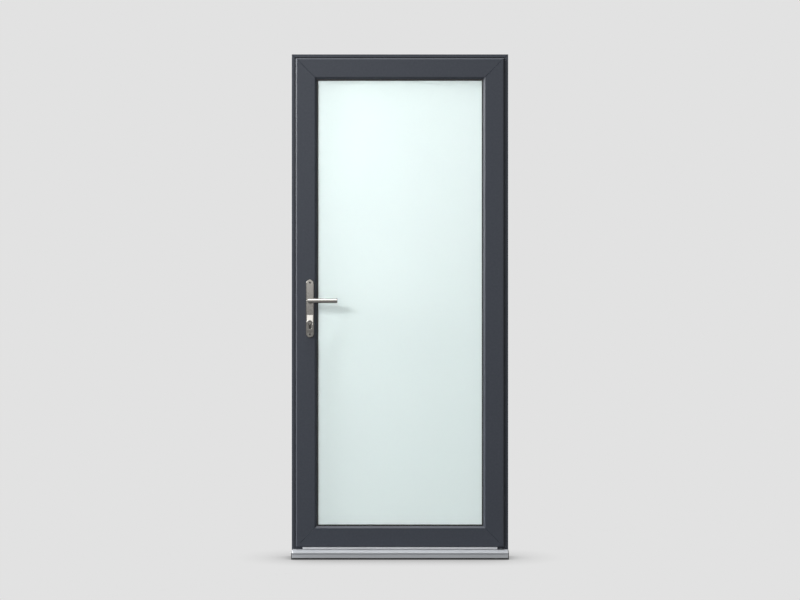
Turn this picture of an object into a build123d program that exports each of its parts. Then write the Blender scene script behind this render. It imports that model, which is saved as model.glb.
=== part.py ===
# Glazed single-leaf door in a lapped aluminium frame, on a ramped threshold.
# Millimetres, +Z up, front at -Y. Origin: underside of the threshold's bed, mid width, frame front plane.
import os

from build123d import *

# Frame
frame_width = 900.0
frame_height = 2095.0
frame_depth = 70.0
jamb_face = 45.0
frame_wall = 2.5
joint_width = 5.0
joint_depth = 6.0
stop_width = 12.0
stop_depth = 14.0
frame_cleat_leg = 110.0

# Threshold
nose_reach = 60.0
nose_height = 29.0
nose_lip_reach = 8.0
nose_lip_thickness = 2.0
bed_height = 7.0
bed_setback = 2.0
deck_height = 37.0
threshold_wall = 3.0
threshold_reveal = 10.0
upstand_depth = 20.0
end_cap_thickness = 3.0
end_cap_plug = 12.0

# Leaf and its profile
frame_band = 17.0
rebate_gap = 6.0
seal_gap = 4.0
leaf_depth = 70.0
leaf_proud = 18.0
sash_face = 87.0
sash_wall = 2.5
sash_web_y = 0.0
outer_bevel = 5.5
inner_chamfer = 8.0
glazing_lip = 10.0
glazing_rebate = 9.0
lap_wall = 3.5
lap_lip = 3.0
lap_lip_chamfer = 2.0
sash_cleat_leg = 120.0
mitre_groove_side = 1.4

# Glazing
pane_thickness = 4.0
pane_cavity = 16.0
glass_edge_gap = 4.0
front_gasket = 4.0
rear_gasket = 3.0
gasket_show = 6.0
sealant_depth = 3.0
spacer_depth = 6.0
bead_wall = 1.6
bead_slope = 5.0
packer_length = 100.0

# Seals
lap_seal_width = 4.5
stop_seal_width = 6.0
seal_clearance = 0.3

# Hinges, with their knuckles inside the lap
hinge_end = 245.0
hinge_length = 100.0
hinge_axis_inset = 5.0
hinge_axis_depth = 7.0
knuckle_radius = 4.0
knuckle_gap = 0.4
hinge_plate = 2.5
hinge_plate_inset = 7.0
hinge_plate_width = 14.0
hinge_pin_radius = 2.0
pin_clearance = 0.05
hinge_screw_spacing = 60.0

# Lock
handle_height = 1070.0
backset = 28.0
cylinder_drop = 92.0
faceplate_width = 20.0
faceplate_thickness = 2.5
faceplate_tail = 100.0
case_thickness = 16.0
case_wall = 1.2
case_above = 90.0
case_below = 145.0
follower_radius = 9.5
spindle_side = 8.0
latch_rise = 52.0
latch_height = 22.0
latch_throw = 12.0
deadbolt_rise = 34.0
deadbolt_height = 20.0
bolt_width = 11.0
point_bolt_radius = 6.0
point_bolt_end = 425.0
point_case_height = 60.0
rod_width = 10.0
rod_thickness = 2.5
rod_travel = 18.0
keep_thickness = 2.0
keep_width = 22.0
keep_margin = 16.0
lock_clearance = 0.3

# Handle set
plate_width = 33.0
plate_height = 241.0
plate_thickness = 9.0
plate_rise = -32.0
plate_edge = 3.0
handle_screw_margin = 13.0
handle_screw_radius = 2.5
lever_radius = 9.5
lever_reach = 115.0
lever_stand = 38.0
lever_journal = 8.0
lever_edge = 1.5
guard_rise = 6.0
guard_width = 25.0
guard_top = 33.0
guard_flat_top = 3.0
guard_flat_bottom = 29.0
guard_bottom = 40.0
guard_opening = 2.5

# Cylinder
cylinder_radius = 8.5
cylinder_stem = 10.0
cylinder_tall = 33.0
cylinder_nose = 1.0
cylinder_recess = 1.5
plug_radius = 6.5
keyway_width = 2.4
keyway_height = 8.5
keyway_depth = 24.0
cam_width = 9.6
cam_slot = 10.0
cam_reach = 13.0

# Fasteners
screw_radius = 2.0
screw_head_radius = 4.0
screw_head_depth = 2.2
screw_length = 14.0
screw_socket_radius = 1.8
screw_socket_depth = 1.6
screw_clearance = 0.05
wall_fixing_radius = 4.0
wall_fixing_spacing = 1500.0

# Shared places taken from the sizes above
half_width = frame_width / 2
leaf_half = half_width - frame_band
leaf_top = frame_height - frame_band
leaf_bottom = deck_height + threshold_reveal
leaf_height = leaf_top - leaf_bottom
leaf_mid = (leaf_top + leaf_bottom) / 2
leaf_front = -leaf_proud
leaf_back = leaf_front + leaf_depth
lap_back = -seal_gap
lap_width = jamb_face - frame_band + rebate_gap
box_in = sash_face - glazing_rebate
jamb_inner = half_width - jamb_face
upstand_top = leaf_bottom + lap_width - rebate_gap
stop_front = frame_depth - stop_depth
lip_back = leaf_front + glazing_lip
glass_inset = box_in + glass_edge_gap
glass_front = lip_back + front_gasket
glass_back = glass_front + 2 * pane_thickness + pane_cavity
bead_front = glass_back + rear_gasket
lock_mid = (leaf_front + leaf_back) / 2
stile_edge = -leaf_half + lap_width
lock_face = stile_edge - faceplate_thickness
spindle_x = lock_face + backset
cylinder_z = handle_height - cylinder_drop
plate_z = handle_height + plate_rise
hinge_x = leaf_half - hinge_axis_inset
hinge_y = -hinge_axis_depth
case_back = -leaf_half + box_in - sash_wall - lock_clearance
point_heights = (leaf_bottom + point_bolt_end, leaf_top - point_bolt_end)
hinge_heights = (leaf_bottom + hinge_end, leaf_mid, leaf_top - hinge_end)
faceplate_low = point_heights[0] - faceplate_tail
faceplate_high = point_heights[1] + faceplate_tail
lever_face = plate_thickness + lock_clearance
handle_screw_reach = plate_height / 2 - handle_screw_margin
plate_screws = (plate_z - handle_screw_reach, plate_z + handle_screw_reach)


# Shape helpers
def outline(points):
    return make_face(Polyline(*points, close=True))


def slab(x0, x1, y0, y1, z0, z1):
    return Pos((x0 + x1) / 2, (y0 + y1) / 2, (z0 + z1) / 2) * Box(x1 - x0, y1 - y0, z1 - z0)


def rod(radius, start, end):
    axis = Vector(*end) - Vector(*start)
    return extrude(Plane(origin=start, z_dir=axis) * Circle(radius), axis.length)


def both_sides(shape):
    return [shape, mirror(shape, Plane.YZ)]


def screw(head, direction, length, extra=0.0):
    place = Plane(origin=head, z_dir=direction).location
    cone = Cone(screw_head_radius + extra, screw_radius + extra, screw_head_depth)
    shank = Cylinder(screw_radius + extra, length)
    body = Pos(0, 0, screw_head_depth / 2) * cone + Pos(0, 0, length / 2) * shank
    if not extra:
        body -= extrude(RegularPolygon(screw_socket_radius, 6), screw_socket_depth)
    return place * body


# A bar along Z: the profile's X runs inward from the outer edge, and the ends are mitred
def member(profile, length, width, low=True):
    bar = extrude(profile, length)
    foot = width if low else 0
    ends = Plane.XZ * outline([(0, 0), (width, foot), (width, length - width), (0, length)])
    return Pos(0, 0, -length / 2) * (bar & extrude(ends, 2 * (frame_depth + leaf_depth), both=True))


# The four bars of one profile round the leaf: left, right, top, bottom
def leaf_members(profile, width):
    upright = Pos(-leaf_half, 0, leaf_mid) * member(profile, leaf_height, width)
    across = member(profile, 2 * leaf_half, width)
    top = Pos(0, 0, leaf_top) * Rot(0, 90, 0) * across
    bottom = Pos(0, 0, leaf_bottom) * Rot(0, -90, 0) * across
    return upright, mirror(upright, Plane.YZ), top, bottom


# The hairline V groove on the front of a mitre, at one corner of a rectangle of bars
def mitre_groove(x, z, front, width, inward):
    turn = 45 if inward * x > 0 else -45
    side = mitre_groove_side
    prism = Rot(0, turn, 0) * Rot(45, 0, 0) * Box(2 * width, side, side)
    middle = x - width / 2 if x > 0 else x + width / 2
    return Pos(middle, front, z + inward * width / 2) * prism


# A rectangular ring in the leaf, between two insets from its outer edge
def ring(outer, inner, front, back):
    rim = [slab(inset - leaf_half, leaf_half - inset, front, back, leaf_bottom + inset, leaf_top - inset)
           for inset in (outer, inner)]
    return rim[0] - rim[1]


# Frame: jambs, head and the cleats in their corners; a shadow joint runs round the leaf's edge
def frame_profile():
    back = jamb_face + stop_width
    joint = frame_band - joint_width
    shell = outline([(0, 0), (joint, 0), (joint, joint_depth), (frame_band, joint_depth), (frame_band, 0),
                     (jamb_face, 0), (jamb_face, stop_front), (back, stop_front), (back, frame_depth),
                     (0, frame_depth)])
    chamber_front = joint_depth + frame_wall
    front_void = outline([(frame_wall, chamber_front), (jamb_face - frame_wall, chamber_front),
                          (jamb_face - frame_wall, stop_front - frame_wall),
                          (frame_wall, stop_front - frame_wall)])
    for near, far in ((frame_wall, joint - frame_wall), (frame_band + frame_wall, jamb_face - frame_wall)):
        front_void += outline([(near, frame_wall), (far, frame_wall), (far, chamber_front), (near, chamber_front)])
    back_void = outline([(frame_wall, stop_front + frame_wall), (back - frame_wall, stop_front + frame_wall),
                         (back - frame_wall, frame_depth - frame_wall), (frame_wall, frame_depth - frame_wall)])
    return shell - front_void - back_void


def frame_bars():
    width = jamb_face + stop_width
    height = frame_height - deck_height
    jamb = Pos(-half_width, 0, deck_height + height / 2) * member(frame_profile(), height, width, low=False)
    fixing_y = stop_front / 2
    middle = (deck_height + frame_height) / 2
    for z in (middle - wall_fixing_spacing / 2, middle + wall_fixing_spacing / 2):
        jamb -= rod(wall_fixing_radius, (-half_width - 1, fixing_y, z), (1 - jamb_inner, fixing_y, z))
    head = Pos(0, 0, frame_height) * Rot(0, 90, 0) * member(frame_profile(), frame_width, width)
    jamb -= mitre_groove(-half_width, frame_height, 0, jamb_face, -1)
    for x in (-half_width, half_width):
        head -= mitre_groove(x, frame_height, 0, jamb_face, -1)
    return jamb, mirror(jamb, Plane.YZ), head


def corner_cleat(x, z, near, far, leg, front, back):
    arm = [(near, near), (near, leg), (far, leg), (far, far), (leg, far), (leg, near)]
    corner = Plane.XZ * outline([(x - u, z - v) for u, v in arm])
    return extrude(corner, -(back - front)).moved(Pos(0, front, 0))


def frame_cleats():
    near = frame_wall + lock_clearance
    far = jamb_face - frame_wall - lock_clearance
    front = joint_depth + frame_wall + lock_clearance
    back = stop_front - frame_wall - lock_clearance
    return both_sides(corner_cleat(half_width, frame_height, near, far, frame_cleat_leg, front, back))


# Threshold: ramped hollow sill with a nose lip, its rubber bed, its end caps, and the bar that the leaf laps
def ramp(y):
    return nose_height + (y + nose_reach) * (deck_height - nose_height) / nose_reach


def sill_voids():
    wall = threshold_wall
    floor = bed_height + wall
    front = wall + nose_lip_reach - nose_reach
    middle = frame_depth / 2
    under_ramp = [(front, floor), (front, ramp(front) - wall), (-wall, ramp(-wall) - wall), (-wall, floor)]
    chambers = [under_ramp]
    for near, far in ((0, middle - wall), (middle, frame_depth - wall)):
        chambers.append([(near, floor), (near, deck_height - wall), (far, deck_height - wall), (far, floor)])
    return [outline(points) for points in chambers]


def sill_outline():
    nose_face = nose_lip_reach - nose_reach
    lip_under = nose_height - nose_lip_thickness
    return outline([(nose_face, bed_height), (nose_face, lip_under), (-nose_reach, lip_under),
                    (-nose_reach, nose_height), (0, deck_height), (frame_depth, deck_height),
                    (frame_depth, bed_height)])


def threshold():
    section = sill_outline()
    for void in sill_voids():
        section -= void
    reach = half_width - end_cap_thickness
    return extrude(Plane.YZ * section, reach, both=True)


def threshold_bed():
    front = nose_lip_reach + bed_setback - nose_reach
    return slab(-half_width, half_width, front, frame_depth, 0, bed_height)


def end_caps():
    face = half_width - end_cap_thickness
    cap = extrude(Plane.YZ.offset(face) * sill_outline(), end_cap_thickness)
    for void in sill_voids():
        plug = offset(void, amount=-lock_clearance, kind=Kind.INTERSECTION)
        cap += extrude(Plane.YZ.offset(face) * plug, -end_cap_plug)
    return both_sides(cap)


def threshold_upstand():
    tube = slab(-jamb_inner, jamb_inner, 0, upstand_depth, deck_height, upstand_top)
    wall = frame_wall
    return tube - slab(-jamb_inner, jamb_inner, wall, upstand_depth - wall,
                       deck_height + wall, upstand_top - wall)


def stop_seal():
    inset = (stop_width - stop_seal_width) / 2
    front = leaf_back + seal_clearance
    reach = jamb_inner - inset
    top = frame_height - jamb_face - inset
    width = stop_seal_width
    gasket = slab(-reach, reach, front, stop_front, deck_height, top)
    return gasket - slab(width - reach, reach - width, front, stop_front, deck_height, top - width)


# Leaf: one lapped hollow profile for stiles and rails
def sash_profile():
    lap_inside = leaf_front + lap_wall
    shell = outline([(0, leaf_front + outer_bevel), (outer_bevel, leaf_front),
                     (sash_face - inner_chamfer, leaf_front), (sash_face, leaf_front + inner_chamfer),
                     (sash_face, lip_back), (box_in, lip_back), (box_in, leaf_back), (lap_width, leaf_back),
                     (lap_width, lap_inside), (lap_lip, lap_inside), (lap_lip, lap_back),
                     (lap_lip_chamfer, lap_back), (0, lap_back - lap_lip_chamfer)])
    near = lap_width + sash_wall
    far = box_in - sash_wall
    chambers = ((leaf_front + sash_wall, sash_web_y), (sash_web_y + sash_wall, leaf_back - sash_wall))
    for front, back in chambers:
        shell -= outline([(near, front), (far, front), (far, back), (near, back)])
    return shell


def sash_bars():
    grooves = [mitre_groove(x, z, leaf_front, sash_face, inward)
               for x in (-leaf_half, leaf_half) for z, inward in ((leaf_bottom, 1), (leaf_top, -1))]
    return [bar - grooves for bar in leaf_members(sash_profile(), sash_face)]


def sash_cleats():
    near = lap_width + sash_wall + lock_clearance
    far = box_in - sash_wall - lock_clearance
    front = sash_web_y + sash_wall + lock_clearance
    back = leaf_back - sash_wall - lock_clearance
    top = corner_cleat(leaf_half, leaf_top, near, far, sash_cleat_leg, front, back)
    bottom = mirror(top, Plane.XY.offset(leaf_mid))
    return both_sides(top) + both_sides(bottom)


def bead_profile():
    near = box_in
    far = sash_face
    edge = far - bead_slope
    shell = outline([(near, bead_front), (far, bead_front), (far, leaf_back - bead_slope),
                     (edge, leaf_back), (near, leaf_back)])
    void = offset(shell, amount=-bead_wall, kind=Kind.INTERSECTION)
    return shell - void


def glass_pane(front):
    return slab(glass_inset - leaf_half, leaf_half - glass_inset, front, front + pane_thickness,
                leaf_bottom + glass_inset, leaf_top - glass_inset)


def glazing_packers():
    quarter_x = leaf_half / 2
    quarter_z = leaf_height / 4
    half = packer_length / 2
    packers = []
    for x in (-quarter_x, quarter_x):
        for z in (leaf_bottom + box_in, leaf_top - glass_inset):
            packers.append(slab(x - half, x + half, glass_front, glass_back, z, z + glass_edge_gap))
    for z in (leaf_mid - quarter_z, leaf_mid + quarter_z):
        for x in (box_in - leaf_half, leaf_half - glass_inset):
            packers.append(slab(x, x + glass_edge_gap, glass_front, glass_back, z - half, z + half))
    return packers


# Hinges: the knuckles turn inside the lap, behind its front wall
def hinge_knuckle(z0, z1, fixed):
    barrel = rod(knuckle_radius, (hinge_x, hinge_y, z0), (hinge_x, hinge_y, z1))
    web_back = 0 if fixed else leaf_front + lap_wall
    front, back = min(hinge_y, web_back), max(hinge_y, web_back)
    web = slab(hinge_x - knuckle_radius, hinge_x, front, back, z0, z1)
    bore = rod(hinge_pin_radius + pin_clearance, (hinge_x, hinge_y, z0), (hinge_x, hinge_y, z1))
    return barrel + web - bore


def hinge_leaf(z, fixed):
    low = z - hinge_length / 2
    third = hinge_length / 3
    right = leaf_half - hinge_plate_inset
    left = right - hinge_plate_width
    front = -hinge_plate if fixed else leaf_front + lap_wall
    leaf = slab(left, right, front, front + hinge_plate, low, low + hinge_length)
    if fixed:
        leaf += hinge_knuckle(low, low + third - knuckle_gap, fixed)
        leaf += hinge_knuckle(low + 2 * third + knuckle_gap, low + hinge_length, fixed)
    else:
        leaf += hinge_knuckle(low + third, low + 2 * third, fixed)
    for bolt in hinge_screws(z, fixed, screw_clearance):
        leaf -= bolt
    return leaf


def hinge_screws(z, fixed, extra=0.0):
    x = leaf_half - hinge_plate_inset - hinge_plate_width / 2
    head = -hinge_plate if fixed else leaf_front + lap_wall + hinge_plate
    into = (0, 1, 0) if fixed else (0, -1, 0)
    length = screw_length if fixed else hinge_plate + lap_wall - lock_clearance
    return [screw((x, head, z + side * hinge_screw_spacing / 2), into, length, extra) for side in (-1, 1)]


def hinge_notch(z):
    half = hinge_length / 2 + knuckle_gap
    front = hinge_y - knuckle_radius - knuckle_gap
    return slab(leaf_half - lap_lip, leaf_half, front, lap_back, z - half, z + half)


# Lock openings, shared by every piece that they pass through
def euro_profile(extra=0.0):
    foot = cylinder_z + cylinder_radius - cylinder_tall + cylinder_stem / 2
    width = cylinder_stem + 2 * extra
    barrel = Pos(spindle_x, cylinder_z) * Circle(cylinder_radius + extra)
    stem = Pos(spindle_x, (cylinder_z + foot) / 2) * Rectangle(width, cylinder_z - foot)
    end = Pos(spindle_x, foot) * Circle(width / 2)
    return barrel + stem + end


def along_y(sketch, front, back):
    return extrude(Plane.XZ.offset(-front) * sketch, front - back)


def handle_openings(radius, front, back):
    cut = along_y(euro_profile(lock_clearance), front, back)
    cut += rod(radius, (spindle_x, front, handle_height), (spindle_x, back, handle_height))
    for z in plate_screws:
        cut += rod(handle_screw_radius + lock_clearance, (spindle_x, front, z), (spindle_x, back, z))
    return cut


def case_slot(low, high):
    half = case_thickness / 2 + lock_clearance
    return slab(stile_edge, stile_edge + sash_wall, lock_mid - half, lock_mid + half,
                low - lock_clearance, high + lock_clearance)


def lock_stile(stile):
    stile -= handle_openings(follower_radius + lock_clearance, leaf_front, leaf_back)
    stile -= case_slot(handle_height - case_below, handle_height + case_above)
    for z in point_heights:
        stile -= case_slot(z - point_case_height / 2, z + point_case_height / 2)
    for bolt in faceplate_screws(screw_clearance):
        stile -= bolt
    return stile


def hinge_stile(stile):
    for z in hinge_heights:
        stile -= hinge_notch(z)
        for bolt in hinge_screws(z, False, screw_clearance):
            stile -= bolt
    return stile


def hinge_jamb(jamb):
    for z in hinge_heights:
        for bolt in hinge_screws(z, True, screw_clearance):
            jamb -= bolt
    return jamb


# Lock: case, faceplate, bolts, and the rods that drive the upper and lower bolts
def hollow_case(low, high):
    half = case_thickness / 2
    shell = slab(stile_edge, case_back, lock_mid - half, lock_mid + half, low, high)
    wall = case_wall
    return shell - slab(stile_edge, case_back - wall, lock_mid - half + wall, lock_mid + half - wall,
                        low + wall, high - wall)


def lock_case():
    case = hollow_case(handle_height - case_below, handle_height + case_above)
    half = case_thickness / 2
    return case - handle_openings(follower_radius + pin_clearance, lock_mid - half, lock_mid + half)


def bolt_cases():
    return [hollow_case(z - point_case_height / 2, z + point_case_height / 2) for z in point_heights]


def bolt_block(z, height, back, extra=0.0, front=lock_face):
    half = bolt_width / 2 + extra
    return slab(front, back, lock_mid - half, lock_mid + half, z - height / 2 - extra, z + height / 2 + extra)


def latch():
    z = handle_height + latch_rise
    half = bolt_width / 2
    bolt = bolt_block(z, latch_height, spindle_x - plug_radius)
    nose = [(lock_face, lock_mid + half), (lock_face + latch_throw, lock_mid + half), (lock_face, lock_mid - half)]
    wedge = extrude(outline(nose), latch_height)
    return bolt - wedge.moved(Pos(0, 0, z - latch_height / 2))


def deadbolt():
    return bolt_block(cylinder_z + deadbolt_rise, deadbolt_height, spindle_x + plug_radius)


def locking_bolts():
    back = spindle_x + plug_radius
    return [rod(point_bolt_radius, (lock_face, lock_mid, z), (back, lock_mid, z)) for z in point_heights]


def bolt_openings(front, back, extra):
    cuts = [bolt_block(handle_height + latch_rise, latch_height, back, extra, front)]
    cuts.append(bolt_block(cylinder_z + deadbolt_rise, deadbolt_height, back, extra, front))
    for z in point_heights:
        cuts.append(rod(point_bolt_radius + extra, (front, lock_mid, z), (back, lock_mid, z)))
    return cuts


def faceplate_screws(extra=0.0):
    low_point, high_point = point_heights
    heights = (faceplate_low + keep_margin, (low_point + handle_height - case_below) / 2,
               (handle_height + case_above + high_point) / 2, faceplate_high - keep_margin)
    length = faceplate_thickness + sash_wall
    return [screw((lock_face, lock_mid, z), (1, 0, 0), length, extra) for z in heights]


def lock_faceplate():
    half = faceplate_width / 2
    middle = (faceplate_low + faceplate_high) / 2
    sketch = Pos(lock_mid, middle) * Rot(0, 0, 90) * SlotOverall(faceplate_high - faceplate_low, 2 * half)
    plate = extrude(Plane.YZ.offset(lock_face) * sketch, faceplate_thickness)
    for cut in bolt_openings(lock_face, stile_edge, lock_clearance) + faceplate_screws(screw_clearance):
        plate -= cut
    return plate


def drive_rods():
    near = stile_edge + sash_wall + lock_clearance
    half = rod_width / 2
    low_point, high_point = point_heights
    spans = ((low_point + point_case_height / 2, handle_height - case_below),
             (handle_height + case_above, high_point - point_case_height / 2))
    return [slab(near, near + rod_thickness, lock_mid - half, lock_mid + half,
                 low + lock_clearance, high - rod_travel - lock_clearance) for low, high in spans]


# Keeps on the left jamb, with pockets in the jamb behind them
def keep_spans():
    point = point_bolt_radius + 2 * keep_margin
    spans = [(z - point, z + point) for z in point_heights]
    low = cylinder_z + deadbolt_rise - deadbolt_height / 2 - 2 * keep_margin
    high = handle_height + latch_rise + latch_height / 2 + 2 * keep_margin
    return spans, (low, high)


def keep_screws(extra=0.0):
    points, centre = keep_spans()
    face = keep_thickness - jamb_inner
    return [screw((face, lock_mid, z), (-1, 0, 0), screw_length, extra)
            for low, high in points + [centre] for z in (low + keep_margin, high - keep_margin)]


def keep_plate(span):
    low, high = span
    half = keep_width / 2
    face = keep_thickness - jamb_inner
    plate = slab(-jamb_inner, face, lock_mid - half, lock_mid + half, low, high)
    for cut in bolt_openings(-jamb_inner, face, 3 * lock_clearance) + keep_screws(screw_clearance):
        plate -= cut
    return plate


def keep_jamb(jamb):
    for cut in bolt_openings(-jamb_inner - frame_wall, -jamb_inner, 3 * lock_clearance):
        jamb -= cut
    for cut in keep_screws(screw_clearance):
        jamb -= cut
    return jamb


# Handle set: face is the leaf's surface, out is -1 at the front and +1 at the back
def handle_plate(face, out):
    sketch = Pos(spindle_x, plate_z) * Rot(0, 0, 90) * SlotOverall(plate_height, plate_width)
    outside = face + out * plate_thickness
    plate = along_y(sketch, min(face, outside), max(face, outside))
    rim = plate.faces().sort_by(Axis.Y)[0 if out < 0 else -1].edges()
    plate = fillet(rim, plate_edge)
    return plate


def outer_handle_plate():
    face = leaf_front - plate_thickness
    plate = handle_plate(leaf_front, -1)
    high = cylinder_z + guard_top
    low = cylinder_z - guard_bottom
    slope = [(face, high), (face - guard_rise, cylinder_z + guard_flat_top),
             (face - guard_rise, cylinder_z - guard_flat_bottom), (face, low)]
    guard = extrude(Plane.YZ.offset(spindle_x - guard_width / 2) * outline(slope), guard_width)
    plate += guard
    plate -= handle_openings(lever_journal + pin_clearance, face - guard_rise, leaf_front)
    plate -= along_y(euro_profile(guard_opening), face - guard_rise, face)
    for bolt in handle_screws(screw_clearance):
        plate -= bolt
    return plate


def inner_handle_plate():
    outside = leaf_back + plate_thickness
    plate = handle_plate(leaf_back, 1)
    plate -= along_y(euro_profile(lock_clearance), leaf_back, outside)
    journal = lever_journal + pin_clearance
    plate -= rod(journal, (spindle_x, leaf_back, handle_height), (spindle_x, outside, handle_height))
    for bolt in handle_screws(screw_clearance):
        plate -= bolt
    return plate


def handle_screws(extra=0.0):
    head = leaf_front - plate_thickness
    length = plate_thickness + leaf_depth + plate_thickness / 2
    return [screw((spindle_x, head, z), (0, 1, 0), length, extra) for z in plate_screws]


def spindle_bar(extra=0.0, reach=lever_stand / 2):
    half = spindle_side / 2 + extra
    return slab(spindle_x - half, spindle_x + half, leaf_front - reach, leaf_back + reach,
                handle_height - half, handle_height + half)


def lever(face, out):
    start = (spindle_x, face + out * lever_face, handle_height)
    elbow = (spindle_x, face + out * (plate_thickness + lever_stand), handle_height)
    tip = (spindle_x + lever_reach, elbow[1], handle_height)
    section = Plane(origin=start, z_dir=(0, out, 0)) * Circle(lever_radius)
    grip = sweep(section, Polyline(start, elbow, tip), transition=Transition.RIGHT)
    end = grip.faces().sort_by(Axis.X)[-1].edges()
    grip = fillet(end, lever_edge)
    journal = rod(lever_journal, (spindle_x, face, handle_height), start)
    return grip + journal - spindle_bar(pin_clearance)


def follower():
    half = case_thickness / 2
    disc = rod(follower_radius, (spindle_x, lock_mid - half, handle_height),
               (spindle_x, lock_mid + half, handle_height))
    return disc - spindle_bar(pin_clearance)


# Cylinder: body with a slot for the cam, and a plug with a keyway from each side
cylinder_front = leaf_front - plate_thickness - guard_rise + cylinder_recess
cylinder_back = leaf_back + plate_thickness + cylinder_nose


def cylinder_body():
    body = along_y(euro_profile(), cylinder_front, cylinder_back)
    bore = plug_radius + pin_clearance
    body -= rod(bore, (spindle_x, cylinder_front, cylinder_z), (spindle_x, cylinder_back, cylinder_z))
    wide = cam_reach + lock_clearance
    return body - slab(spindle_x - wide, spindle_x + wide, lock_mid - cam_slot / 2, lock_mid + cam_slot / 2,
                       cylinder_z - wide, cylinder_z + wide)


def plug(outside, inside):
    barrel = rod(plug_radius, (spindle_x, outside, cylinder_z), (spindle_x, inside, cylinder_z))
    deep = outside + (keyway_depth if inside > outside else -keyway_depth)
    half = keyway_width / 2
    return barrel - slab(spindle_x - half, spindle_x + half, min(outside, deep), max(outside, deep),
                         cylinder_z - plug_radius, cylinder_z - plug_radius + keyway_height)


def cam():
    half = cam_width / 2
    hub = rod(cylinder_radius, (spindle_x, lock_mid - half, cylinder_z), (spindle_x, lock_mid + half, cylinder_z))
    tail = slab(spindle_x - cylinder_stem / 4, spindle_x + cylinder_stem / 4, lock_mid - half, lock_mid + half,
                cylinder_z - cam_reach, cylinder_z)
    return hub + tail


# Assembly
def save(node, *shapes):
    solids = [solid for shape in shapes for solid in shape.solids()]
    export_step(solids[0] if len(solids) == 1 else Compound(solids), f"parts/{node}.step")
    print(node, len(solids), round(sum(solid.volume for solid in solids)))


def save_frame():
    left_jamb, right_jamb, head = frame_bars()
    save("left_jamb", keep_jamb(left_jamb))
    save("right_jamb", hinge_jamb(right_jamb))
    save("head", head)
    save("frame_corner_cleats", *frame_cleats())
    save("threshold", threshold())
    save("threshold_bed", threshold_bed())
    save("threshold_end_caps", *end_caps())
    save("threshold_upstand", threshold_upstand())
    save("stop_seal", stop_seal())
    save("hinge_frame_leaves", *[hinge_leaf(z, True) for z in hinge_heights])
    half = hinge_length / 2
    save("hinge_pins", *[rod(hinge_pin_radius, (hinge_x, hinge_y, z - half), (hinge_x, hinge_y, z + half))
                         for z in hinge_heights])
    save("hinge_frame_screws", *[bolt for z in hinge_heights for bolt in hinge_screws(z, True)])
    points, centre = keep_spans()
    save("centre_keep", keep_plate(centre))
    save("bolt_keeps", *[keep_plate(span) for span in points])
    save("keep_screws", *keep_screws())


def save_leaf():
    left_stile, right_stile, top_rail, bottom_rail = sash_bars()
    save("left_stile", lock_stile(left_stile))
    save("right_stile", hinge_stile(right_stile))
    save("top_rail", top_rail)
    save("bottom_rail", bottom_rail)
    save("sash_corner_cleats", *sash_cleats())
    seal_inset = lap_width - rebate_gap - lap_lip_chamfer - lap_seal_width
    save("lap_seal", ring(seal_inset, seal_inset + lap_seal_width, leaf_front + lap_wall, -seal_clearance))
    save("hinge_sash_leaves", *[hinge_leaf(z, False) for z in hinge_heights])
    save("hinge_sash_screws", *[bolt for z in hinge_heights for bolt in hinge_screws(z, False)])


def save_glazing():
    spacer_front = glass_front + pane_thickness
    spacer_back = spacer_front + pane_cavity
    spacer_inset = glass_inset + sealant_depth
    save("front_gasket", ring(glass_inset, sash_face + gasket_show, lip_back, glass_front))
    save("rear_gasket", ring(glass_inset, sash_face + gasket_show, glass_back, bead_front))
    save("outer_pane", glass_pane(glass_front))
    save("inner_pane", glass_pane(spacer_back))
    save("edge_sealant", ring(glass_inset, spacer_inset, spacer_front, spacer_back))
    save("spacer", ring(spacer_inset, spacer_inset + spacer_depth, spacer_front, spacer_back))
    save("glazing_packers", *glazing_packers())
    for side, bead in zip(("left", "right", "top", "bottom"), leaf_members(bead_profile(), sash_face)):
        save(f"{side}_bead", bead)


def save_lock():
    save("lock_faceplate", lock_faceplate())
    save("faceplate_screws", *faceplate_screws())
    save("lock_case", lock_case())
    save("bolt_cases", *bolt_cases())
    save("latch", latch())
    save("deadbolt", deadbolt())
    save("locking_bolts", *locking_bolts())
    save("drive_rods", *drive_rods())
    save("follower", follower())
    save("spindle", spindle_bar())
    save("outer_lever", lever(leaf_front, -1))
    save("inner_lever", lever(leaf_back, 1))
    save("outer_handle_plate", outer_handle_plate())
    save("inner_handle_plate", inner_handle_plate())
    save("handle_screws", *handle_screws())
    save("cylinder_body", cylinder_body())
    save("outer_plug", plug(cylinder_front, lock_mid - cam_slot / 2))
    save("inner_plug", plug(cylinder_back, lock_mid + cam_slot / 2))
    save("cam", cam())


os.makedirs("parts", exist_ok=True)
save_frame()
save_leaf()
save_glazing()
save_lock()
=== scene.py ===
import math

import bpy
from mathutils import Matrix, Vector

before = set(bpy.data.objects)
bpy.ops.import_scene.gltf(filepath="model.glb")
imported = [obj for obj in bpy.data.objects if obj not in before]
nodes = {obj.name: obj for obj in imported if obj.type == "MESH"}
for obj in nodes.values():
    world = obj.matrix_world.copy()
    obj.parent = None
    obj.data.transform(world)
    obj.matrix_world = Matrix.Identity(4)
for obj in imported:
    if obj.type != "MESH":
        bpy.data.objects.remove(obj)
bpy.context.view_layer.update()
scene = bpy.context.scene
print("frame loaded:", len(nodes), "nodes")


def srgb(text):  # "#rrggbb" to linear rgba
    parts = [int(text[i:i + 2], 16) / 255 for i in (1, 3, 5)]
    return [c / 12.92 if c <= 0.04045 else ((c + 0.055) / 1.055) ** 2.4 for c in parts] + [1.0]


def addNode(tree, kind, settings=None, inputs=None, links=None):
    node = tree.nodes.new(kind)
    for name, value in (settings or {}).items():
        setattr(node, name, value)
    for socket, value in (inputs or {}).items():
        node.inputs[socket].default_value = value
    for socket, (source, output) in (links or {}).items():
        tree.links.new(source.outputs[output], node.inputs[socket])
    return node


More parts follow.
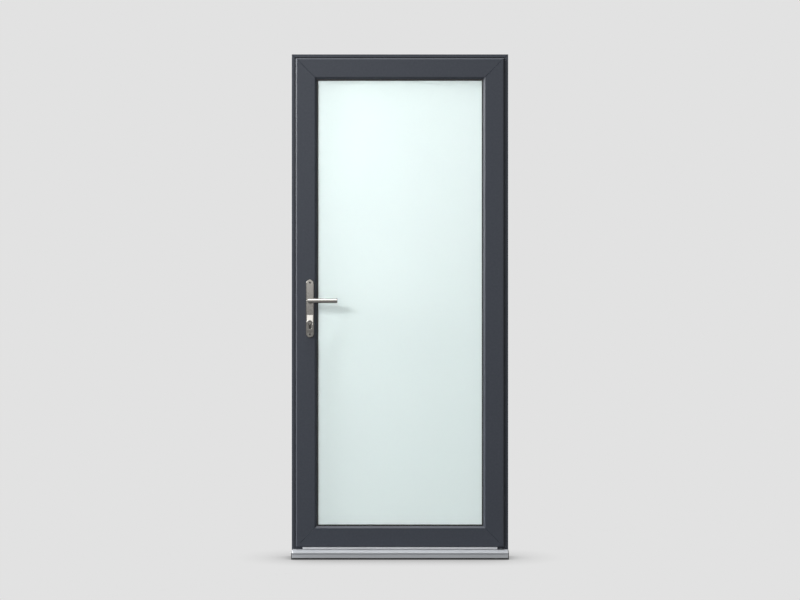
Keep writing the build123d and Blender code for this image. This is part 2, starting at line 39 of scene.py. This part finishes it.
def newMaterial(name, **inputs):
    mat = bpy.data.materials.new(name)
    mat.use_nodes = True
    tree = mat.node_tree
    shader = tree.nodes["Principled BSDF"]
    for socket, value in inputs.items():
        shader.inputs[socket.replace("_", " ")].default_value = value
    return mat, tree, shader


def joinTo(tree, node, output, shader, socket):
    tree.links.new(node.outputs[output], shader.inputs[socket])


def setStops(tone, positions, colours):  # the two stops of a colour ramp
    for element, position, colour in zip(tone.color_ramp.elements, positions, colours):
        element.position = position
        element.color = srgb(colour)


def paint(material, *names):
    for name in names:
        for slot in nodes[name].material_slots:
            slot.material = material


edgeSamples = 4  # for the edges that coat and metal shade as rounded

# Powder coat on extruded aluminium: sprayed polyester grit, baked, so a satin film with fine orange peel
# The grit is drawn coarser than the real 0.2 mm, to show
coat = {"colour": "#343840", "light": "#393d45", "stops": (0.3, 0.8), "roughness": 0.45, "smoother": 0.04,
        "rougher": 0.06, "shine": 0.22, "gritMm": 1.6, "peelMm": 9.0, "edgeMm": 0.9,
        "bump": 0.06, "bumpMm": 0.4}


def makeCoat():
    mat, tree, shader = newMaterial("powderCoatAnthracite", Roughness=coat["roughness"],
                                    Specular_IOR_Level=coat["shine"])
    place = addNode(tree, "ShaderNodeTexCoord")
    grit = addNode(tree, "ShaderNodeTexNoise", {}, {"Scale": 1000 / coat["gritMm"], "Detail": 3.0},
                   {"Vector": (place, "Object")})
    peel = addNode(tree, "ShaderNodeTexNoise", {}, {"Scale": 1000 / coat["peelMm"], "Detail": 2.0},
                   {"Vector": (place, "Object")})
    tone = addNode(tree, "ShaderNodeValToRGB", {}, {}, {"Fac": (peel, "Fac")})
    setStops(tone, coat["stops"], (coat["colour"], coat["light"]))
    joinTo(tree, tone, "Color", shader, "Base Color")
    gloss = addNode(tree, "ShaderNodeMapRange", {},
                    {"To Min": coat["roughness"] - coat["smoother"],
                     "To Max": coat["roughness"] + coat["rougher"]}, {"Value": (grit, "Fac")})
    joinTo(tree, gloss, "Result", shader, "Roughness")
    edge = addNode(tree, "ShaderNodeBevel", {"samples": edgeSamples}, {"Radius": coat["edgeMm"] / 1000})
    skin = addNode(tree, "ShaderNodeBump", {}, {"Strength": coat["bump"], "Distance": coat["bumpMm"] / 1000},
                   {"Height": (grit, "Fac"), "Normal": (edge, "Normal")})
    joinTo(tree, skin, "Normal", shader, "Normal")
    return mat


# Anodised aluminium: extruded along X, satin etched, so a soft metal with fine drawn lines
anodised = {"colour": "#b6b9bd", "dark": "#abaeb3", "metal": 0.2, "roughness": 0.45, "bump": 0.05,
            "lineMm": 0.9, "runMm": 160.0, "edgeMm": 0.7}

# Mill-finish aluminium on the upstand under the leaf: flatter than the anodised sill, and paler as painted
# light against the leaf's shadow
millFinishAndPaintedLight = {"colour": "#dcdee1", "dark": "#d2d4d8", "metal": 0.8, "roughness": 0.36, "bump": 0.04,
              "lineMm": 1.2, "runMm": 200.0, "edgeMm": 0.4}

# Satin nickel: plated and brushed, so a warm grey metal with short fine scratches
nickel = {"colour": "#7c7a76", "dark": "#6e6c69", "metal": 1.0, "roughness": 0.14, "bump": 0.008,
          "lineMm": 0.5, "runMm": 14.0, "edgeMm": 0.5}

# Zinc-plated steel: bright and slightly mottled, on what the closed leaf hides of lock and hinges
zinc = {"colour": "#b9bcc0", "dark": "#9a9da2", "metal": 1.0, "roughness": 0.34, "bump": 0.03,
        "lineMm": 3.0, "runMm": 6.0, "edgeMm": 0.3}

# Dark steel on the handle's screws and the cylinder's body; on the cylinder the dark is painted shade for its
# recess
darkSteelAndPaintedShade = {"colour": "#3a3836", "dark": "#2b2a28", "metal": 0.6, "roughness": 0.42, "bump": 0.03,
              "lineMm": 1.0, "runMm": 3.0, "edgeMm": 0.3}

# Hinge steel coated to match the frame: darker and glossier than the bars
hingeCoat = {"colour": "#34373d", "dark": "#2a2c31", "metal": 0.0, "roughness": 0.36, "bump": 0.04,
             "lineMm": 2.0, "runMm": 4.0, "edgeMm": 0.4}

# What these six finishes share
metalSkin = {"stops": (0.3, 0.7), "smoother": 0.06, "rougher": 0.08, "bumpMm": 0.3}


def makeMetal(name, finish):  # noise stretched along X into drawn lines
    mat, tree, shader = newMaterial(name, Metallic=finish["metal"], Roughness=finish["roughness"])
    place = addNode(tree, "ShaderNodeTexCoord")
    along, across = 1 / finish["runMm"], 1 / finish["lineMm"]
    stretch = addNode(tree, "ShaderNodeMapping", {}, {"Scale": (along, across, across)},
                      {"Vector": (place, "Object")})
    lines = addNode(tree, "ShaderNodeTexNoise", {}, {"Scale": 1000.0, "Detail": 2.0},
                    {"Vector": (stretch, "Vector")})
    tone = addNode(tree, "ShaderNodeValToRGB", {}, {}, {"Fac": (lines, "Fac")})
    setStops(tone, metalSkin["stops"], (finish["dark"], finish["colour"]))
    joinTo(tree, tone, "Color", shader, "Base Color")
    gloss = addNode(tree, "ShaderNodeMapRange", {},
                    {"To Min": finish["roughness"] - metalSkin["smoother"],
                     "To Max": finish["roughness"] + metalSkin["rougher"]}, {"Value": (lines, "Fac")})
    joinTo(tree, gloss, "Result", shader, "Roughness")
    edge = addNode(tree, "ShaderNodeBevel", {"samples": edgeSamples}, {"Radius": finish["edgeMm"] / 1000})
    skin = addNode(tree, "ShaderNodeBump", {},
                   {"Strength": finish["bump"], "Distance": metalSkin["bumpMm"] / 1000},
                   {"Height": (lines, "Fac"), "Normal": (edge, "Normal")})
    joinTo(tree, skin, "Normal", shader, "Normal")
    return mat


# EPDM rubber: extruded seal, near black with a soft bloom
epdm = {"colour": "#121213", "bloom": "#1d1d1f", "roughness": 0.62, "bloomMm": 6.0}

# Moulded polyamide: end caps and packers, with a spark-eroded grain
polyamide = {"colour": "#26282b", "bloom": "#303338", "roughness": 0.55, "bloomMm": 1.4}

# What rubber and polyamide share
matteSkin = {"stops": (0.35, 0.75), "ior": 1.5, "bump": 0.08, "bumpMm": 0.3}


def makeMatte(name, finish):
    mat, tree, shader = newMaterial(name, Roughness=finish["roughness"], IOR=matteSkin["ior"])
    place = addNode(tree, "ShaderNodeTexCoord")
    cloud = addNode(tree, "ShaderNodeTexNoise", {}, {"Scale": 1000 / finish["bloomMm"], "Detail": 4.0},
                    {"Vector": (place, "Object")})
    tone = addNode(tree, "ShaderNodeValToRGB", {}, {}, {"Fac": (cloud, "Fac")})
    setStops(tone, matteSkin["stops"], (finish["colour"], finish["bloom"]))
    joinTo(tree, tone, "Color", shader, "Base Color")
    skin = addNode(tree, "ShaderNodeBump", {},
                   {"Strength": matteSkin["bump"], "Distance": matteSkin["bumpMm"] / 1000},
                   {"Height": (cloud, "Fac")})
    joinTo(tree, skin, "Normal", shader, "Normal")
    return mat


# Float glass: clear soda-lime pane, smooth, faintly green in its thickness, with the slow waves of toughening
floatGlass = {"tint": "#f8fdfb", "roughness": 0.04, "spread": 0.02, "passes": 1.0, "grainMm": 180.0}

# Satin glass: the same pane acid-etched, so it passes light softly and hides what is behind it
# The etched grain is drawn far coarser than the real 0.05 mm
satinGlass = {"tint": "#eef9f8", "roughness": 0.6, "spread": 0.03, "passes": 0.25, "grainMm": 2.5}

# What both panes share
glassSkin = {"ior": 1.5, "bump": 0.02, "bumpMm": 0.5}


def makeGlass(name, pane):
    mat, tree, shader = newMaterial(name, Base_Color=srgb(pane["tint"]), Roughness=pane["roughness"],
                                    IOR=glassSkin["ior"], Transmission_Weight=pane["passes"])
    place = addNode(tree, "ShaderNodeTexCoord")
    grain = addNode(tree, "ShaderNodeTexNoise", {}, {"Scale": 1000 / pane["grainMm"], "Detail": 2.0},
                    {"Vector": (place, "Object")})
    gloss = addNode(tree, "ShaderNodeMapRange", {},
                    {"To Min": pane["roughness"] - pane["spread"],
                     "To Max": pane["roughness"] + pane["spread"]}, {"Value": (grain, "Fac")})
    joinTo(tree, gloss, "Result", shader, "Roughness")
    skin = addNode(tree, "ShaderNodeBump", {},
                   {"Strength": glassSkin["bump"], "Distance": glassSkin["bumpMm"] / 1000},
                   {"Height": (grain, "Fac")})
    joinTo(tree, skin, "Normal", shader, "Normal")
    return mat


def dressNodes():
    bars = ["left_jamb", "right_jamb", "head", "left_stile", "right_stile", "top_rail", "bottom_rail"]
    beads = ["left_bead", "right_bead", "top_bead", "bottom_bead"]
    paint(makeCoat(), *bars, *beads)
    paint(makeMetal("anodisedAluminium", anodised), "threshold", "spacer", "frame_corner_cleats",
          "sash_corner_cleats")
    # The upstand's paler colour is painted light, for the leaf's shadow it sits in
    paint(makeMetal("millAluminiumAndPaintedLight", millFinishAndPaintedLight), "threshold_upstand")
    paint(makeMetal("satinNickel", nickel), "outer_handle_plate", "inner_handle_plate", "outer_lever",
          "inner_lever", "outer_plug", "inner_plug")
    # The cylinder body's dark colour is painted shade, for the shadow round the plug
    paint(makeMetal("darkSteelAndPaintedShadeMetal", darkSteelAndPaintedShade), "cylinder_body", "handle_screws")
    paint(makeMetal("zincSteel", zinc), "hinge_pins", "hinge_frame_screws", "hinge_sash_screws",
          "centre_keep", "bolt_keeps", "keep_screws", "lock_faceplate", "faceplate_screws", "lock_case",
          "bolt_cases", "latch", "deadbolt", "locking_bolts", "drive_rods", "follower", "spindle", "cam")
    paint(makeMetal("coatedHingeSteel", hingeCoat), "hinge_frame_leaves", "hinge_sash_leaves")
    paint(makeMatte("epdmRubber", epdm), "threshold_bed", "stop_seal", "lap_seal", "front_gasket",
          "rear_gasket", "edge_sealant")
    paint(makeMatte("mouldedPolyamide", polyamide), "threshold_end_caps", "glazing_packers")
    paint(makeGlass("floatGlass", floatGlass), "inner_pane")
    paint(makeGlass("satinEtchedGlass", satinGlass), "outer_pane")
    print("materials set on", len(nodes), "nodes")


dressNodes()


# Studio: an even pale ground, and a floor that keeps the contact shadow
studio = {"ground": "#e2e2e2", "bounce": "#7c7c7c", "dome": "#ffffff", "domeStrength": 0.13,
          "floorSize": 400.0, "shadowReach": 0.24, "shadowSamples": 16}

# keyLight and softbox light the front from the upper left, and skyCard fills from behind the camera
# The rakes graze it from above and from the left, and backLight shines through the satin pane
# A hard edge on backLight would show in the clear inner pane, seen from behind
lamps = {"keyLight": {"place": (-5.0, -5.3, 4.4), "aim": (0.0, 0.0, 1.05), "size": (2.2, 2.2),
                      "watts": 290.0},
         "softbox": {"place": (-1.2, -5.5, 3.3), "aim": (0.0, 0.0, 1.05), "size": (2.2, 1.2),
                     "watts": 38.0},
         "skyCard": {"place": (-0.75, -8.6, 2.27), "aim": (-0.37, 0.0, 2.2), "size": (2.4, 1.8),
                     "watts": 56.0},
         "topRake": {"place": (-1.0, -3.3, 18.0), "aim": (0.0, 0.0, 1.0), "size": (5.2, 5.2),
                     "watts": 2100.0},
         "leftRake": {"place": (-8.0, -0.7, 3.6), "aim": (0.0, 0.0, 1.1), "size": (1.2, 3.0),
                      "watts": 900.0},
         "backLight": {"place": (-1.3, 4.0, 2.3), "aim": (0.0, 0.0, 1.4), "size": (5.6, 4.4),
                       "watts": 1400.0, "softEdge": True}}
lampMiddle = (0.5, 0.5, 0.0)  # in shares of a lamp's size
lampRim = 0.5  # from the middle


def seenDirectly(tree):  # 1 for rays that show the ground to the eye, in metal and through glass too
    path = addNode(tree, "ShaderNodeLightPath")
    mirrored = addNode(tree, "ShaderNodeMath", {"operation": "MAXIMUM"}, {},
                       {0: (path, "Is Camera Ray"), 1: (path, "Is Glossy Ray")})
    return addNode(tree, "ShaderNodeMath", {"operation": "MAXIMUM"}, {},
                   {0: (mirrored, "Value"), 1: (path, "Is Transmission Ray")})


def makeWorld():
    world = bpy.data.worlds.new("studioWorld")
    world.use_nodes = True
    tree = world.node_tree
    tree.nodes.clear()
    ground = addNode(tree, "ShaderNodeBackground", {}, {"Color": srgb(studio["ground"]), "Strength": 1.0})
    dome = addNode(tree, "ShaderNodeBackground", {},
                   {"Color": srgb(studio["dome"]), "Strength": studio["domeStrength"]})
    mixed = addNode(tree, "ShaderNodeMixShader", {}, {},
                    {0: (seenDirectly(tree), "Value"), 1: (dome, "Background"), 2: (ground, "Background")})
    addNode(tree, "ShaderNodeOutputWorld", {}, {}, {"Surface": (mixed, "Shader")})
    scene.world = world


def makeFloor():
    half = studio["floorSize"] / 2
    corners = [(-half, -half, 0), (half, -half, 0), (half, half, 0), (-half, half, 0)]
    mesh = bpy.data.meshes.new("studioFloor")
    mesh.from_pydata(corners, [], [(0, 1, 2, 3)])
    floor = bpy.data.objects.new("studioFloor", mesh)
    scene.collection.objects.link(floor)
    mat = bpy.data.materials.new("studioPaper")
    mat.use_nodes = True
    tree = mat.node_tree
    tree.nodes.clear()
    shade = addNode(tree, "ShaderNodeAmbientOcclusion", {"samples": studio["shadowSamples"]},
                    {"Color": srgb(studio["ground"]), "Distance": studio["shadowReach"]})
    glow = addNode(tree, "ShaderNodeEmission", {}, {"Strength": 1.0}, {"Color": (shade, "Color")})
    paper = addNode(tree, "ShaderNodeBsdfDiffuse", {}, {"Color": srgb(studio["bounce"])})
    mixed = addNode(tree, "ShaderNodeMixShader", {}, {},
                    {0: (seenDirectly(tree), "Value"), 1: (paper, "BSDF"), 2: (glow, "Emission")})
    addNode(tree, "ShaderNodeOutputMaterial", {}, {}, {"Surface": (mixed, "Shader")})
    mesh.materials.append(mat)


def addLamp(name, settings):
    lamp = bpy.data.lights.new(name, "AREA")
    lamp.shape = "RECTANGLE"
    lamp.size, lamp.size_y = settings["size"]
    lamp.energy = settings["watts"]
    piece = bpy.data.objects.new(name, lamp)
    if settings.get("softEdge"):  # full at the middle, fading to nothing at the rim
        lamp.use_nodes = True
        tree = lamp.node_tree
        spot = addNode(tree, "ShaderNodeNewGeometry")
        offset = addNode(tree, "ShaderNodeVectorMath", {"operation": "DISTANCE"}, {1: lampMiddle},
                         {0: (spot, "Parametric")})
        fade = addNode(tree, "ShaderNodeMapRange", {"interpolation_type": "SMOOTHSTEP"},
                       {"From Min": lampRim, "From Max": 0.0}, {"Value": (offset, "Value")})
        joinTo(tree, fade, "Result", tree.nodes["Emission"], "Strength")
    piece.location = settings["place"]
    aim = Vector(settings["aim"]) - piece.location
    piece.rotation_euler = aim.to_track_quat("-Z", "Y").to_euler()
    scene.collection.objects.link(piece)


def makeStudio():
    makeWorld()
    makeFloor()
    for name, settings in lamps.items():
        addLamp(name, settings)
    scene.view_settings.view_transform = "Standard"
    print("studio lit")


makeStudio()


# Camera: level, square on to the door, far enough back that the uprights stay parallel
eye = {"place": (0.0, -8.0, 1.0733), "sensorMm": 36.0, "mmPerPixel": 4.16, "pixelsWide": 800}


def makeCamera():
    data = bpy.data.cameras.new("photoCamera")
    data.sensor_width = eye["sensorMm"]
    data.lens = eye["sensorMm"] * -eye["place"][1] * 1000 / (eye["mmPerPixel"] * eye["pixelsWide"])
    camera = bpy.data.objects.new("photoCamera", data)
    camera.location = eye["place"]
    camera.rotation_euler = (math.radians(90), 0, 0)
    scene.collection.objects.link(camera)
    scene.camera = camera
    print("camera set, lens", round(data.lens, 1))


makeCamera()
